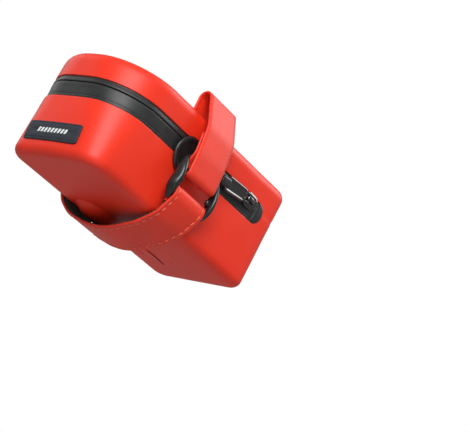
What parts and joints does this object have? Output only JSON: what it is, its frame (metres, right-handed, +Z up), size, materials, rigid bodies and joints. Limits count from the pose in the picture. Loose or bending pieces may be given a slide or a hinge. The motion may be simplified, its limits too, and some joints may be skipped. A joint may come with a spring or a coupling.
{
  "type": "saddle bag",
  "caption": "Small moulded zip case that hangs under a bicycle saddle from both rails by a buckled strap and belly band.",
  "frame": {"origin": "midway between the two saddle rails, at the middle of the strap's width", "axes": "+X forwards towards the seatpost, along the rails; +Y to the rider's left; +Z up towards the saddle"},
  "size_m": [0.1503, 0.0938, 0.0908],
  "materials": {
    "red_skin": "satin moulded polyurethane film, smooth, with a soft sheen",
    "foam": "closed-cell moulded foam",
    "lining": "plain knitted polyester lining",
    "label": "matt slate-coloured rubber patch, blank",
    "zip_tape": "black coated water-resistant zip tape",
    "zip_coil": "black nylon coil",
    "slider_metal": "gloss black painted die-cast metal",
    "black_rubber": "moulded satin black rubber",
    "red_strap": "red coated webbing with a smooth face",
    "hook_and_loop": "black hook-and-loop pile",
    "thread": "pale coral polyester thread",
    "black_plastic": "moulded acetal, satin"
  },
  "bodies": {
    "root": {"upper_shell": "red_skin", "upper_foam": "foam", "lid_lining": "lining", "front_hinge_tape": "lining", "zip_tape_upper": "zip_tape", "zip_coil_upper": "zip_coil", "zip_stops": "slider_metal", "zip_garage_left": "black_rubber", "zip_garage_right": "black_rubber", "rail_strap": "red_strap", "strap_hooks_left": "hook_and_loop", "strap_hooks_right": "hook_and_loop", "lid_keeper": "red_strap", "belly_band": "red_strap", "band_lining": "hook_and_loop", "band_stitches": "thread", "buckle_left": "black_plastic", "buckle_right": "black_plastic"},
    "tub": {"lower_shell": "red_skin", "lower_foam": "foam", "tub_lining": "lining", "zip_tape_lower": "zip_tape", "zip_coil_lower": "zip_coil", "label": "label", "band_pad": "red_skin", "band_pad_hooks": "hook_and_loop"},
    "slider": {"zip_slider": "slider_metal"},
    "puller": {"puller_tab": "slider_metal", "pull_loop": "black_rubber"}
  },
  "joints": [
    {"name": "tub_hinge", "type": "hinge", "parent": "root", "child": "tub", "pos_m": [0.0795, 0, -0.0289], "axis": [0, -1, 0], "range_deg": [0, 1.5], "deforming": ["band_lining"]},
    {"name": "zip_slide", "type": "slide", "parent": "root", "child": "slider", "axis": [-1, 0, 0], "range_m": [0, 0.08]},
    {"name": "puller_lift", "type": "hinge", "parent": "slider", "child": "puller", "pos_m": [0.0464, -0.03856, -0.02903], "axis": [-0.0958, -0.0583, 0.9937], "range_deg": [0, 20], "deforming": ["pull_loop"]}
  ]
}
